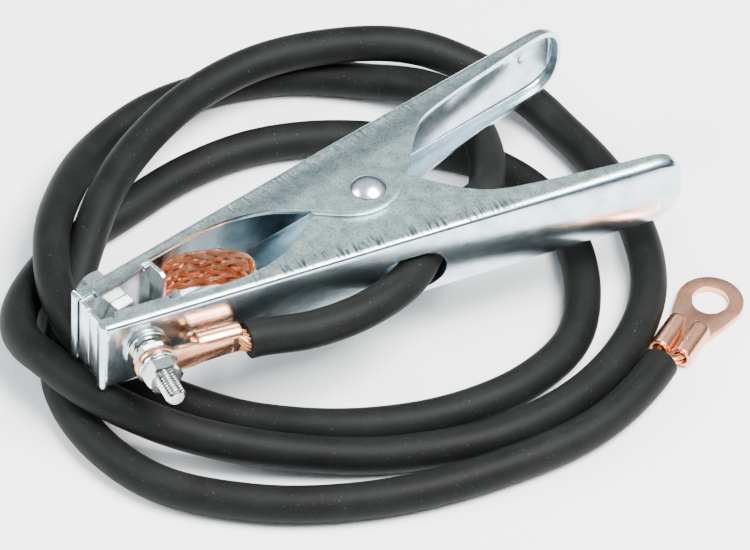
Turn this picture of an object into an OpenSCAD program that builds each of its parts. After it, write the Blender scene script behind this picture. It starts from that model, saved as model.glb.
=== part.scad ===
// Spring ground clamp for arc welding, with its cable and a ring terminal.
// Origin: middle of the line where the two contact teeth meet.
// +X runs from the jaws to the handles, +Y to the upper arm, +Z along the pivot.

/* [Arms] */
// Height of both arms, along the pivot
arm_h = 24.4; // [24:0.2:25]
// Thickness of the arm sheet
sheet = 1.5; // [1.3:0.1:1.6]
// Angle between each arm's back and the centre line
arm_angle = 8.2; // [8:0.1:8.4]
// Distance from the centre line to the arm's back at the teeth
jaw_half = 9.3; // [9.2:0.1:9.5]
// Distance from the teeth to the pivot
pivot_x = 94; // [93:0.5:95]
// Length of an arm's back beyond the teeth
arm_l = 184.7; // [182:0.1:186]
// Outer bend radius between the back and the flanges
bend_r = 3.5; // [2.5:0.5:4]

/* [Pivot and spring] */
// Diameter of the pivot rivet
rivet_d = 6; // [5:0.5:6]
// Diameter of the rivet's domed heads
rivet_head_d = 11.2; // [10:0.2:12]
// Wire diameter of the torsion spring
wire_d = 2.2; // [1.8:0.1:2.3]
// Mean radius of the torsion spring
spring_r = 6.4; // [6:0.1:7]
// Full turns of the torsion spring
spring_turns = 5; // [4:1:5]

/* [Contacts and bolts] */
// Thickness of the contact plates
contact_t = 1.3; // [1:0.1:1.4]
// Height of the contact plates, along the pivot
contact_h = 22.8; // [20:0.2:23]
// Thread diameter of both bolts
bolt_d = 6; // [5:1:6]
// Width across the flats of the bolt heads and nuts
across_flats = 10; // [9:0.5:10]
// Place of both bolts along the arm's back
bolt_x = 12; // [11.5:0.5:12.5]

/* [Cable] */
// Outer diameter of the cable
cable_d = 11; // [10.5:0.1:11]
// Diameter of the copper strands
strand_d = 7.2; // [6.8:0.2:7.4]
// Diameter of the bolt hole in the ring terminal
terminal_hole_d = 11; // [10:0.5:11]
// Outer diameter of the ring terminal's ring
terminal_ring_d = 20; // [19:0.5:21]

/* [Hidden] */
$fn = 48;
half_h = arm_h / 2;
tip_x = -2;
end_x = arm_l - half_h;
clearance = 0.05;
hole_gap = 0.1;
// The upper arm's ears lie outside the lower arm's, this far from the middle.
ear_gap = 0.3;
ear_in = half_h + ear_gap;
ear_out = ear_in + sheet;
step_low = 11.5;
step_high = 13;
// The contact plates rest on the flange edges.
plate_y = 3.9;
tooth_gap = 0.05;
tooth_x = [-0.7, 0.6];
tab_x = 25;
// Fasteners
hex_r = across_flats / 2 / cos(30);
head_h = 4;
nut_h = 5;
flat_washer_t = 1.5;
lock_washer_t = 1.5;
inner_nut_h = 3;
lug_t = 1.8;
outer_washer_t = 1.2;
lower_bolt_l = 22;
upper_bolt_l = 9.5;
lug_y = flat_washer_t + lock_washer_t + inner_nut_h;
// Cable
rest_z = -29.5;
cable_slot_x = 95.5;
cable_slot_l = 22;
cable_slot_h = 14.6;
cable_slot_z = -2;
lug_tilt = 3;
barrel_wall = 1;
terminal_t = 1.8;
terminal_turn = 29;
terminal_l = 34;
terminal_low_z = -34.8;
// Centre line of the cable from the near lug to the ring terminal, as x, y and the
// height above where the cable lies on the ground.
cable_route = [
    // out of the near lug, along the lower arm, in by the slot and out between the arms
    [39, -22, 28], [58, -28, 28], [76, -29, 28], [93, -24.5, 27.5], [108, -14, 27],
    [128, -2, 19.6], [143, 9, 11.7], [151, 21, 11.5], [155, 34, 11.5], [157, 48, 9],
    // under the upper arm and round behind the clamp
    [154, 62, 4.5], [144, 75, 1], [126, 89, 0], [102, 97, 0], [78, 98, 0], [56, 90, 2],
    [36, 74, 8], [20, 55, 12], [10, 34, 12], [8, 20, 10], [12, 5, 6], [23, -10, 2],
    // inner loop
    [40, -29, 0], [65, -46, 0], [94, -55, 0], [116, -55, 0], [136, -48, 0],
    [150, -33, 0], [159, -14, 0], [162, 6, 0], [157, 25, 0], [145, 41, 0],
    [124, 59, 0], [99, 69, 0], [77, 70, 0], [54, 66, 0], [19, 56, 1],
    // middle loop, with the jaws resting on it
    [-4, 33, 6], [-5, 10, 11.5], [8, -19, 9], [42, -47, 2], [69, -61, 0], [98, -69, 0],
    [134, -65, 0], [165, -45, 0], [182, -9, 0], [184, 25, 0], [181, 44, 2],
    [173, 59, 5], [161, 70.5, 10], [141, 82, 12], [116, 89, 12], [90, 87, 12],
    // outer loop and the far end
    [66, 78, 12], [44, 64, 11.5], [28, 50, 7], [13, 35, 1], [-2, 13, 0], [-5, -8, 0],
    [1, -33, 0], [20, -54, 0], [50, -71, 0], [88, -80, 0], [125, -80, 0], [153, -69, 0]
];

// ---- Curves ----

// Point at t on the Catmull-Rom span between b and c.
function span_point(a, b, c, d, t) =
    (2*b + (c - a)*t + (2*a - 5*b + 4*c - d)*t*t + (3*b - a - 3*c + d)*t*t*t) / 2;

// Smooth open curve through p, with n steps between neighbouring points.
function smooth(p, n) = let (last = len(p) - 1) [
    for (i = [0 : last - 1], k = [0 : n - 1])
        span_point(
            i > 0 ? p[i-1] : 2*p[0] - p[1], p[i], p[i+1],
            i < last - 1 ? p[i+2] : 2*p[last] - p[last-1], k/n),
    p[last]
];

function unit(v) = v / norm(v);

// Direction of the curve p at its point i.
function heading(p, i) = unit(p[min(i + 1, len(p) - 1)] - p[max(i - 1, 0)]);

// Points of one ring of radius r across the curve p at its point i.
function ring(p, i, r, sides) =
    let (h = heading(p, i), side = unit(cross(h, [0, 0, 1])), up = cross(side, h))
    [for (k = [0 : sides - 1]) p[i] + r*cos(360*k/sides)*side + r*sin(360*k/sides)*up];

// Round tube of radius r along the curve p.
module tube(p, r, sides) {
    rings = len(p);
    points = [for (i = [0 : rings - 1]) each ring(p, i, r, sides)];
    walls = [
        for (i = [0 : rings - 2], k = [0 : sides - 1])
            let (a = i*sides + k, b = i*sides + (k + 1) % sides)
            [a, b, b + sides, a + sides]
    ];
    caps = [
        [for (k = [sides - 1 : -1 : 0]) k],
        [for (k = [0 : sides - 1]) (rings - 1)*sides + k]
    ];
    polyhedron(points, concat(walls, caps), convexity = 10);
}

// ---- Arm places ----

// Moves an arm's own frame (x along its back, y inward) to the upper arm's place.
module upper_place() {
    translate([0, jaw_half, 0]) rotate([0, 0, arm_angle]) mirror([0, 1, 0]) children();
}

// The same for the lower arm.
module lower_place() {
    translate([0, -jaw_half, 0]) rotate([0, 0, -arm_angle]) children();
}

// A point of the upper half, x and y, in the arm's own frame. Mirrored, it is the lower's.
function to_arm(p) = [
    p[0]*cos(arm_angle) + (p[1] - jaw_half)*sin(arm_angle),
    p[0]*sin(arm_angle) - (p[1] - jaw_half)*cos(arm_angle)
];

pivot_local = to_arm([pivot_x, 0]);

// Edge of the flanges from the jaws to the handle's end.
front_edge = [
    [tip_x, 3.4], [3.6, 3.4], [4.2, 5.9], [20.6, 5.9], [21.4, 3.6], [32, 3.8]
];
ear_edge = smooth([
    [44, 4.4], [51, 5.8], [58, 8.4], [65, 13.2], [72, 19], [78, 24.8],
    [84, 29], [pivot_local[0], pivot_local[1] + 8.2], [99.5, 28.6], [106, 23.8],
    [113, 17.6], [120, 12.2], [127, 9.2], [134, 7.8], [148, 6.4], [165, 5.2]
], 4);
arm_outline = concat(
    [[tip_x, 0]], front_edge, ear_edge, [[arm_l + 1, 5], [arm_l + 1, 0]]
);

// ---- Sheet metal ----

// Cross-section of a channel from its back, with rounded bends.
module channel_section(half, r, depth) {
    translate([r, -half]) square([depth - r, 2*half]);
    translate([0, r - half]) square([depth, 2*(half - r)]);
    for (side = [-1, 1]) translate([r, side*(half - r)]) circle(r);
}

// Half of the same section, turned about the back's normal at the handle's end.
module end_section(half, r, depth) {
    translate([0, r]) square([half, depth - r]);
    square([half - r, depth]);
    translate([half - r, r]) circle(r);
}

// Solid channel from x = start to the round handle end.
module channel_body(start, half, r, depth) {
    translate([start, 0, 0]) rotate([90, 0, 90])
        linear_extrude(end_x - start) channel_section(half, r, depth);
    translate([end_x, 0, 0]) rotate([-90, 0, 0])
        rotate_extrude() end_section(half, r, depth);
}

// Channel with its front lip and its ears, open towards +y.
module channel_arm(depth) {
    difference() {
        intersection() {
            channel_body(tip_x, half_h, bend_r, depth);
            translate([0, 0, -half_h]) linear_extrude(arm_h) polygon(arm_outline);
        }
        translate([0, sheet, 0])
            channel_body(tip_x + sheet, half_h - sheet, bend_r - sheet, depth);
    }
}

// Part of the arm outline between two depths, as a plate on both sides.
module side_plates(low_y, high_y, near_z, far_z) {
    for (side = [-1, 1])
        translate([0, 0, side*(near_z + far_z)/2])
            intersection() {
                linear_extrude(far_z - near_z, center = true) polygon(arm_outline);
                translate([50, low_y, -half_h]) cube([100, high_y - low_y, arm_h]);
            }
}

module bolt_hole() {
    translate([bolt_x, -1, 0]) rotate([-90, 0, 0])
        cylinder(d = bolt_d + 2*hole_gap, h = 10);
}

module lower_arm() {
    color("lightsteelblue")
    lower_place() difference() {
        channel_arm(40);
        bolt_hole();
        translate([pivot_local[0], pivot_local[1], -arm_h])
            cylinder(d = rivet_d, h = 2*arm_h);
        cable_slot();
    }
}

// Long round-ended slot in the lower arm's back, which the cable goes in by.
module cable_slot() {
    reach = (cable_slot_l - cable_slot_h) / 2;
    translate([cable_slot_x, -1, cable_slot_z]) rotate([-90, 0, 0]) {
        for (end = [-1, 1]) translate([end*reach, 0, 0]) cylinder(d = cable_slot_h, h = 4);
        translate([-reach, -cable_slot_h/2, 0]) cube([2*reach, cable_slot_h, 4]);
    }
}

module upper_arm() {
    color("lightsteelblue")
    upper_place() difference() {
        union() {
            channel_arm(step_high);
            side_plates(step_low, step_high, half_h - sheet, ear_out);
            side_plates(step_high, 40, ear_in, ear_out);
        }
        bolt_hole();
        translate([pivot_local[0], pivot_local[1], -arm_h])
            cylinder(d = rivet_d + 2*clearance, h = 2*arm_h);
    }
}

module pivot_rivet() {
    head_z = ear_out + clearance;
    dome_h = 2.4;
    dome_r = (pow(rivet_head_d/2, 2) + dome_h*dome_h) / (2*dome_h);
    color("silver")
    translate([pivot_x, 0, 0]) {
        cylinder(d = rivet_d, h = 2*head_z, center = true);
        for (side = [0, 1]) mirror([0, 0, side])
            intersection() {
                translate([0, 0, head_z]) cylinder(d = rivet_head_d, h = dome_h);
                translate([0, 0, head_z + dome_h - dome_r]) sphere(dome_r, $fn = 64);
            }
    }
}

// Coil round the rivet whose two legs press the arms' backs apart behind the pivot.
module torsion_spring() {
    leg_turn = 43;
    leg_l = 25.5;
    start = 90 + leg_turn;
    sweep = 360*spring_turns + 2*(90 - leg_turn);
    steps = 18*spring_turns;
    coil_h = 14.4;
    leg_dir = [cos(leg_turn), sin(leg_turn), 0];
    coil = [
        for (i = [0 : steps]) let (a = start + sweep*i/steps)
            [pivot_x + spring_r*cos(a), spring_r*sin(a), coil_h*(i/steps - 0.5)]
    ];
    upper_leg = [for (l = [leg_l, leg_l/2]) coil[0] + l*leg_dir];
    lower_leg = [for (l = [leg_l/2, leg_l]) coil[steps] + l*[leg_dir[0], -leg_dir[1], 0]];
    color("dimgray") tube(concat(upper_leg, coil, lower_leg), wire_d/2, 8);
}

// ---- Contacts ----

// Side view of a contact plate in an arm's own frame: the tooth stands square to the
// line where the jaws meet, the plate lies along the arm, the tab stands at its rear.
function contact_profile(tab_l) =
    let (
        inner_y = plate_y + contact_t,
        front = to_arm([tooth_x[0], tooth_gap]),
        rear = to_arm([tooth_x[1], tooth_gap])
    ) [
        front, rear, along_tooth(rear, inner_y),
        [tab_x - contact_t, inner_y], [tab_x - contact_t, plate_y + tab_l],
        [tab_x, plate_y + tab_l], [tab_x, plate_y], along_tooth(front, plate_y)
    ];

// Where a line that starts at p and runs along the tooth reaches the depth y.
function along_tooth(p, y) = [p[0] + (p[1] - y)*tan(arm_angle), y];

// Bent contact plate; its middle is narrower, to fit between the flanges' locating steps.
module contact_plate(tab_l) {
    middle_h = 2*(half_h - sheet) - 0.6;
    middle_x = [3.3, 21.8];
    difference() {
        linear_extrude(contact_h, center = true) polygon(contact_profile(tab_l));
        for (side = [0, 1]) mirror([0, 0, side])
            translate([middle_x[0], 0, middle_h/2])
                cube([middle_x[1] - middle_x[0], 20, contact_h]);
        translate([bolt_x, 0, 0]) rotate([-90, 0, 0])
            cylinder(d = bolt_d + 2*hole_gap, h = 20);
    }
}

module upper_contact_plate() color("gainsboro") upper_place() contact_plate(7.2);

module lower_contact_plate() color("gainsboro") lower_place() contact_plate(5.4);

// ---- Fasteners, each on the bolt's axis with y out of the arm's back ----

// Moves a piece made upright to the bolt's axis, at y above the arm's back.
module on_bolt(y) {
    translate([bolt_x, -y, 0]) rotate([90, 0, 0]) children();
}

module washer(y, d, t) {
    on_bolt(y) difference() {
        cylinder(d = d, h = t);
        translate([0, 0, -1]) cylinder(d = bolt_d + 2*hole_gap, h = t + 2);
    }
}

// Lock washer with its slanted split.
module lock_washer(y) {
    difference() {
        washer(y, 10.2, lock_washer_t);
        on_bolt(y) translate([4, 0, 0]) rotate([25, 0, 0]) cube([6, 0.8, 5], center = true);
    }
}

// Hexagonal nut with its corners rounded off by a sphere.
module nut(y, h) {
    on_bolt(y) difference() {
        intersection() {
            cylinder(r = hex_r, h = h, $fn = 6);
            translate([0, 0, h/2]) sphere(r = hex_r + 0.35);
        }
        translate([0, 0, -1]) cylinder(d = bolt_d, h = h + 2);
    }
}

// Hexagon bolt from inside the contact plate to y above the arm's back.
module bolt(y) {
    inner = plate_y + contact_t;
    translate([bolt_x, inner, 0]) rotate([90, 0, 0]) {
        cylinder(d = bolt_d, h = inner + y);
        translate([0, 0, -head_h]) intersection() {
            cylinder(r = hex_r, h = head_h, $fn = 6);
            translate([0, 0, 4]) sphere(r = hex_r + 1.2);
        }
    }
}

module upper_bolt() color("silver") upper_place() bolt(upper_bolt_l);

module upper_washer() color("silver") upper_place() washer(0, 14, flat_washer_t);

module upper_lock_washer() color("silver") upper_place() lock_washer(flat_washer_t);

module upper_nut() {
    color("silver") upper_place() nut(flat_washer_t + lock_washer_t, nut_h);
}

module lower_bolt() color("silver") lower_place() bolt(lower_bolt_l);

module lower_washer() color("silver") lower_place() washer(0, 14, flat_washer_t);

module lower_lock_washer() color("silver") lower_place() lock_washer(flat_washer_t);

module lower_inner_nut() {
    color("silver") lower_place() nut(flat_washer_t + lock_washer_t, inner_nut_h);
}

module outer_washer() color("silver") lower_place() washer(lug_y + lug_t, 12, outer_washer_t);

module outer_nut() {
    color("silver") lower_place() nut(lug_y + lug_t + outer_washer_t, nut_h);
}

// ---- Copper ----

// Flat braid that carries current from one contact plate to the other.
module copper_braid() {
    braid_h = 15;
    braid_t = 1.8;
    line = smooth([
        [26.9, 5.2], [29.4, 9], [35, 10.2], [43, 8], [50, 4], [53, -1.5],
        [49.5, -7], [42, -8.8], [34, -8.2], [28.6, -7.2], [26, -6.4]
    ], 4);
    last = len(line) - 1;
    normals = [
        for (i = [0 : last]) let (h = heading(line, i)) [-h[1], h[0]]*braid_t/2
    ];
    color("peru") linear_extrude(braid_h, center = true) polygon(concat(
        [for (i = [0 : last]) line[i] + normals[i]],
        [for (i = [last : -1 : 0]) line[i] - normals[i]]
    ));
}

// Places a piece that runs along +x from the lower bolt's axis to the cable.
module near_lug_place() {
    lower_place() translate([bolt_x, -lug_y - lug_t/2, 0])
        rotate([0, lug_tilt, 0]) children();
}

near_axis_l = 28.4;
near_barrel = [12.5, 22];

module cable_lug() {
    barrel_r = strand_d/2 + barrel_wall;
    color("darksalmon") near_lug_place() difference() {
        union() {
            rotate([90, 0, 0]) cylinder(d = 13, h = lug_t, center = true);
            translate([0, -lug_t/2, -4.5]) cube([near_barrel[0] + 1, lug_t, 9]);
            translate([near_barrel[0], 0, 0]) rotate([0, 90, 0])
                cylinder(r = barrel_r, h = near_barrel[1] - near_barrel[0]);
        }
        rotate([90, 0, 0]) cylinder(d = bolt_d + 2*hole_gap, h = 10, center = true);
        translate([near_barrel[0] + 1.5, 0, 0]) rotate([0, 90, 0])
            cylinder(d = strand_d, h = 20);
    }
}

module near_strands() {
    start = near_barrel[0] + 1.5;
    color("chocolate") near_lug_place() translate([start, 0, 0]) rotate([0, 90, 0])
        cylinder(d = strand_d, h = near_axis_l - start);
}

// Rubber jacket with the cable's core, lying in loops under the clamp.
module cable_jacket() {
    line = [for (p = cable_route) [p[0], p[1], p[2] + rest_z]];
    color([0.16, 0.17, 0.16]) tube(line, cable_d/2, 12);
}

// Places a piece with its ring's centre at the origin and its cable along -x.
module terminal_place() {
    cable_end = cable_route[len(cable_route) - 1];
    translate([
        cable_end[0] + terminal_l*cos(terminal_turn),
        cable_end[1] + terminal_l*sin(terminal_turn),
        terminal_low_z
    ]) rotate([0, 0, terminal_turn]) children();
}

terminal_barrel = [14, 26];
terminal_axis_z = rest_z - terminal_low_z;

module ring_terminal() {
    barrel_r = strand_d/2 + barrel_wall;
    color("darksalmon") terminal_place() difference() {
        union() {
            cylinder(d = terminal_ring_d, h = terminal_t);
            linear_extrude(terminal_t) polygon([
                [-3, 9.5], [-15, 6.2], [-18, 3.5], [-18, -3.5], [-15, -6.2], [-3, -9.5]
            ]);
            translate([-terminal_barrel[1], 0, terminal_axis_z]) rotate([0, 90, 0])
                cylinder(r = barrel_r, h = terminal_barrel[1] - terminal_barrel[0]);
        }
        translate([0, 0, -1]) cylinder(d = terminal_hole_d, h = terminal_t + 2);
        translate([-terminal_l, 0, terminal_axis_z]) rotate([0, 90, 0])
            cylinder(d = strand_d, h = terminal_l - terminal_barrel[0] - 1.5);
    }
}

module far_strands() {
    color("chocolate") terminal_place()
        translate([-terminal_l, 0, terminal_axis_z]) rotate([0, 90, 0])
            cylinder(d = strand_d, h = terminal_l - terminal_barrel[0] - 1.5);
}

lower_arm();
upper_arm();
pivot_rivet();
torsion_spring();
upper_contact_plate();
lower_contact_plate();
upper_bolt();
upper_washer();
upper_lock_washer();
upper_nut();
lower_bolt();
lower_washer();
lower_lock_washer();
lower_inner_nut();
cable_lug();
outer_washer();
outer_nut();
copper_braid();
near_strands();
cable_jacket();
far_strands();
ring_terminal();
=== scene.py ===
import math
import random

import bmesh
import bpy
from mathutils import Matrix, Vector


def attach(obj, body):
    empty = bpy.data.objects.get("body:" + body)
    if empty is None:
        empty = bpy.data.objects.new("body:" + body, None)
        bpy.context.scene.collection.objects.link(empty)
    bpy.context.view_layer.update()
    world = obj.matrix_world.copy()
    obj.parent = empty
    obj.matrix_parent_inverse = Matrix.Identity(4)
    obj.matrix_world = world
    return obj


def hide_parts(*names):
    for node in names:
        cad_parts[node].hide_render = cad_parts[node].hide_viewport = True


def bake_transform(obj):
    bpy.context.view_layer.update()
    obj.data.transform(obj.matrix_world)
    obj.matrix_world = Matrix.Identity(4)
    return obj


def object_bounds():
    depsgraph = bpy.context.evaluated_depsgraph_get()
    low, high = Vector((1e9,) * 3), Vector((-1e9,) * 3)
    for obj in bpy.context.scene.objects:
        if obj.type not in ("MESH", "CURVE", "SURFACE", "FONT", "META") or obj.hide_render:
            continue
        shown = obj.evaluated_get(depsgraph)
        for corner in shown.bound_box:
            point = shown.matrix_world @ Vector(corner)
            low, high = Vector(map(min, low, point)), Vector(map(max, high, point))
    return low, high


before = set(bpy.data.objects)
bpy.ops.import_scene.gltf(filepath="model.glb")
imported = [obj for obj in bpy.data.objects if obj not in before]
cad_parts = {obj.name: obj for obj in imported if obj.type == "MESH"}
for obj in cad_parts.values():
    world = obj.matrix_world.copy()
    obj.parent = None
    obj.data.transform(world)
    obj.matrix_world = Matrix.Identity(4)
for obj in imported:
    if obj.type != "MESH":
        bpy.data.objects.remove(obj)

# A spring ground clamp on its own cable. All sizes are in metres, in the CAD's frame:
# +X from the jaws to the handles, +Y to the upper arm, +Z along the pivot rivet.

cad_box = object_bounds()
MM = 0.001

# ---- Sizes that the CAD also holds ----

ARM_ANGLE = math.radians(8.2)
JAW_HALF = 9.3 * MM
HALF_H = 12.2 * MM
SHEET = 1.5 * MM
TIP_X = -2.0 * MM
ARM_L = 184.7 * MM
END_X = ARM_L - HALF_H
EAR_STEP = 1.8 * MM
PIVOT_X = 94.0 * MM
BOLT_X = 12.0 * MM
PLATE_Y = 3.9 * MM
PLATE_T = 1.3 * MM
TAB_X = 25.0 * MM
CABLE_R = 5.5 * MM
SLOT_X = 95.5 * MM
SLOT_Z = -2 * MM
SLOT_REACH = 3.7 * MM
SLOT_R = 7.3 * MM
REST_Z = -29.5 * MM
LUG_OUT = 6.9 * MM
LUG_TILT = math.radians(3)
TERMINAL_TURN = math.radians(29)
TERMINAL_L = 34.0 * MM
TERMINAL_LOW_Z = -34.8 * MM

# ---- Sizes of the look alone ----

# Depths between which the upper ears step outward; the CAD's step is steeper.
STEP_LOW = 2.5 * MM
STEP_HIGH = 13.6 * MM
EDGE = 0.25 * MM
LUG_T = 1.8 * MM
WING_T = 1.3 * MM
FLOOR_HALF = 3.0

# Centre line of the cable, in mm: x, y and the height above lying on the ground.
CABLE_ROUTE = [
    # out of the near lug, along the lower arm, in by the slot and out between the arms
    (39, -22, 28), (58, -28, 28), (76, -29, 28), (93, -24.5, 27.5), (108, -14, 27),
    (128, -2, 19.6), (143, 9, 11.7), (151, 21, 11.5), (155, 34, 11.5), (157, 48, 9),
    # under the upper arm and round behind the clamp
    (154, 62, 4.5), (144, 75, 1), (126, 89, 0), (102, 97, 0), (78, 98, 0), (56, 90, 2),
    (36, 74, 8), (20, 55, 12), (10, 34, 12), (8, 20, 10), (12, 5, 6), (23, -10, 2),
    # inner loop
    (40, -29, 0), (65, -46, 0), (94, -55, 0), (116, -55, 0), (136, -48, 0),
    (150, -33, 0), (159, -14, 0), (162, 6, 0), (157, 25, 0), (145, 41, 0),
    (124, 59, 0), (99, 69, 0), (77, 70, 0), (54, 66, 0), (19, 56, 1),
    # middle loop, with the jaws resting on it
    (-4, 33, 6), (-5, 10, 11.5), (8, -19, 9), (42, -47, 2), (69, -61, 0), (98, -69, 0),
    (134, -65, 0), (165, -45, 0), (182, -9, 0), (184, 25, 0), (181, 44, 2),
    (173, 59, 5), (161, 70.5, 10), (141, 82, 12), (116, 89, 12), (90, 87, 12),
    # outer loop and the far end
    (66, 78, 12), (44, 64, 11.5), (28, 50, 7), (13, 35, 1), (-2, 13, 0), (-5, -8, 0),
    (1, -33, 0), (20, -54, 0), (50, -71, 0), (88, -80, 0), (125, -80, 0), (153, -69, 0),
]

LOWER, UPPER = "lower", "upper"


# ---- Small helpers ----

def lerp(a, b, t):
    return a + (b - a) * t


def smoothstep(low, high, v):
    t = min(max((v - low) / (high - low), 0.0), 1.0)
    return t * t * (3 - 2 * t)


def table(points, x):
    """Piecewise-linear value at x (metres) of points given as (mm, value)."""
    x /= MM
    if x <= points[0][0]:
        return points[0][1]
    for (xa, ya), (xb, yb) in zip(points, points[1:]):
        if x <= xb:
            return lerp(ya, yb, (x - xa) / (xb - xa))
    return points[-1][1]


def arm_point(side, x, y, z):
    """A point of an arm's own frame (x along its back, y inward) in the part's frame."""
    c, s = math.cos(ARM_ANGLE), math.sin(ARM_ANGLE)
    return Vector((x * c + y * s, side * (JAW_HALF + x * s - y * c), z))


def link(name, mesh):
    piece = bpy.data.objects.new(name, mesh)
    bpy.context.collection.objects.link(piece)
    return piece


def smooth_shading(mesh, angle=math.radians(38)):
    """Smooth faces, with the edges sharper than angle kept sharp."""
    b = bmesh.new()
    b.from_mesh(mesh)
    for face in b.faces:
        face.smooth = True
    for edge in b.edges:
        edge.smooth = len(edge.link_faces) != 2 or edge.calc_face_angle(0) < angle
    b.to_mesh(mesh)
    b.free()


def mesh_piece(name, points, faces):
    mesh = bpy.data.meshes.new(name)
    mesh.from_pydata([tuple(p) for p in points], [], faces)
    mesh.update()
    return link(name, mesh)


def grid_faces(columns, rows, offset=0, closed=False):
    """Quads of a grid of points that is stored column by column."""
    faces = []
    last = rows if closed else rows - 1
    for i in range(columns - 1):
        for k in range(last):
            n = (k + 1) % rows
            a, b = offset + i * rows, offset + (i + 1) * rows
            faces.append((a + k, a + n, b + n, b + k))
    return faces


def bevel(width, segments=2, angle=50):
    """Settings of a bevel on the edges sharper than angle (degrees), for finish_mesh."""
    return "BEVEL", dict(width=width, segments=segments, limit_method="ANGLE",
                         angle_limit=math.radians(angle))


def finish_mesh(piece, *modifiers):
    """Adds modifiers, given as (type, settings), applies them and shades the result."""
    for kind, settings in modifiers:
        modifier = piece.modifiers.new(kind, kind)
        for key, value in settings.items():
            setattr(modifier, key, value)
    depsgraph = bpy.context.evaluated_depsgraph_get()
    mesh = bpy.data.meshes.new_from_object(piece.evaluated_get(depsgraph))
    piece.modifiers.clear()
    piece.data = mesh
    smooth_shading(mesh)
    return piece


def merge(piece, distance=1e-6, outward=True):
    """Welds points closer than distance; outward also turns the faces outward."""
    b = bmesh.new()
    b.from_mesh(piece.data)
    bmesh.ops.remove_doubles(b, verts=b.verts, dist=distance)
    bmesh.ops.dissolve_degenerate(b, edges=b.edges, dist=distance)
    if outward:
        bmesh.ops.recalc_face_normals(b, faces=b.faces)
    b.to_mesh(piece.data)
    b.free()
    return piece


def join(name, parts):
    """One object from several."""
    b = bmesh.new()
    for part in parts:
        mesh = part.data.copy()
        mesh.transform(part.matrix_world)
        b.from_mesh(mesh)
        bpy.data.meshes.remove(mesh)
        bpy.data.objects.remove(part)
    mesh = bpy.data.meshes.new(name)
    b.to_mesh(mesh)
    b.free()
    return link(name, mesh)


def tube_points(path, radius, sides):
    """Points of a tube along path, ring by ring."""
    points, up = [], Vector((0, 0, 1))
    for i, p in enumerate(path):
        ahead = path[min(i + 1, len(path) - 1)] - path[max(i - 1, 0)]
        side = ahead.cross(up).normalized()
        top = side.cross(ahead).normalized()
        for k in range(sides):
            a = math.tau * k / sides
            points.append(p + side * (radius * math.cos(a)) + top * (radius * math.sin(a)))
    return points


def tubes(name, paths, radius, sides):
    """One mesh of closed tubes, one along each path."""
    points, faces = [], []
    for path in paths:
        offset = len(points)
        points += tube_points(path, radius, sides)
        faces += grid_faces(len(path), sides, offset, closed=True)
        end = offset + (len(path) - 1) * sides
        faces.append(tuple(range(offset + sides - 1, offset - 1, -1)))
        faces.append(tuple(range(end, end + sides)))
    piece = mesh_piece(name, points, faces)
    merge(piece, 1e-8)
    smooth_shading(piece.data, math.radians(60))
    return piece


# ---- Materials ----

def new_material(name):
    material = bpy.data.materials.new(name)
    material.use_nodes = True
    nodes, links = material.node_tree.nodes, material.node_tree.links
    return material, nodes, links, nodes["Principled BSDF"]


def noise(nodes, links, scale, detail=4.0, roughness=0.55, stretch=None):
    """Noise in the object's own coordinates; stretch is (rotation, scale) if wanted."""
    where = nodes.new("ShaderNodeTexCoord")
    texture = nodes.new("ShaderNodeTexNoise")
    texture.inputs["Scale"].default_value = scale
    texture.inputs["Detail"].default_value = detail
    texture.inputs["Roughness"].default_value = roughness
    if stretch:
        mapping = nodes.new("ShaderNodeMapping")
        mapping.inputs["Rotation"].default_value = stretch[0]
        mapping.inputs["Scale"].default_value = stretch[1]
        links.new(where.outputs["Object"], mapping.inputs["Vector"])
        links.new(mapping.outputs["Vector"], texture.inputs["Vector"])
    else:
        links.new(where.outputs["Object"], texture.inputs["Vector"])
    return texture.outputs["Fac"]


def ramp(nodes, links, value, stops):
    """A colour ramp over value; stops are (position, colour)."""
    node = nodes.new("ShaderNodeValToRGB")
    elements = node.color_ramp.elements
    while len(elements) < len(stops):
        elements.new(0.5)
    for element, (position, colour) in zip(elements, stops):
        element.position = position
        element.color = (*colour, 1)
    links.new(value, node.inputs["Fac"])
    return node.outputs["Color"]


def remap(nodes, links, value, low, high):
    """Spreads a 0 to 1 value over low to high."""
    node = nodes.new("ShaderNodeMapRange")
    node.inputs["To Min"].default_value = low
    node.inputs["To Max"].default_value = high
    links.new(value, node.inputs["Value"])
    return node.outputs["Result"]


def fade(nodes, links, value, start, stop):
    """0 to 1, smoothly, as value goes from start to stop."""
    node = nodes.new("ShaderNodeMapRange")
    node.interpolation_type = "SMOOTHSTEP"
    node.inputs["From Min"].default_value = start
    node.inputs["From Max"].default_value = stop
    links.new(value, node.inputs["Value"])
    return node.outputs["Result"]


def times(nodes, links, value, factor):
    """Product of value with factor, which is a number or a socket."""
    node = nodes.new("ShaderNodeMath")
    node.operation = "MULTIPLY"
    links.new(value, node.inputs[0])
    if isinstance(factor, (int, float)):
        node.inputs[1].default_value = factor
    else:
        links.new(factor, node.inputs[1])
    return node.outputs[0]


def blend_colours(nodes, links, below, above, mode, amount=1.0):
    node = nodes.new("ShaderNodeMix")
    node.data_type = "RGBA"
    node.blend_type = mode
    node.inputs[0].default_value = amount
    links.new(below, node.inputs[6])
    links.new(above, node.inputs[7])
    return node.outputs[2]


def bump(nodes, links, shader, layers):
    """Chains bump nodes; layers are (height socket, strength, distance)."""
    previous = None
    for height, strength, distance in layers:
        node = nodes.new("ShaderNodeBump")
        node.inputs["Strength"].default_value = strength
        node.inputs["Distance"].default_value = distance
        links.new(height, node.inputs["Height"])
        if previous:
            links.new(previous, node.inputs["Normal"])
        previous = node.outputs["Normal"]
    links.new(previous, shader.inputs["Normal"])


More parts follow.
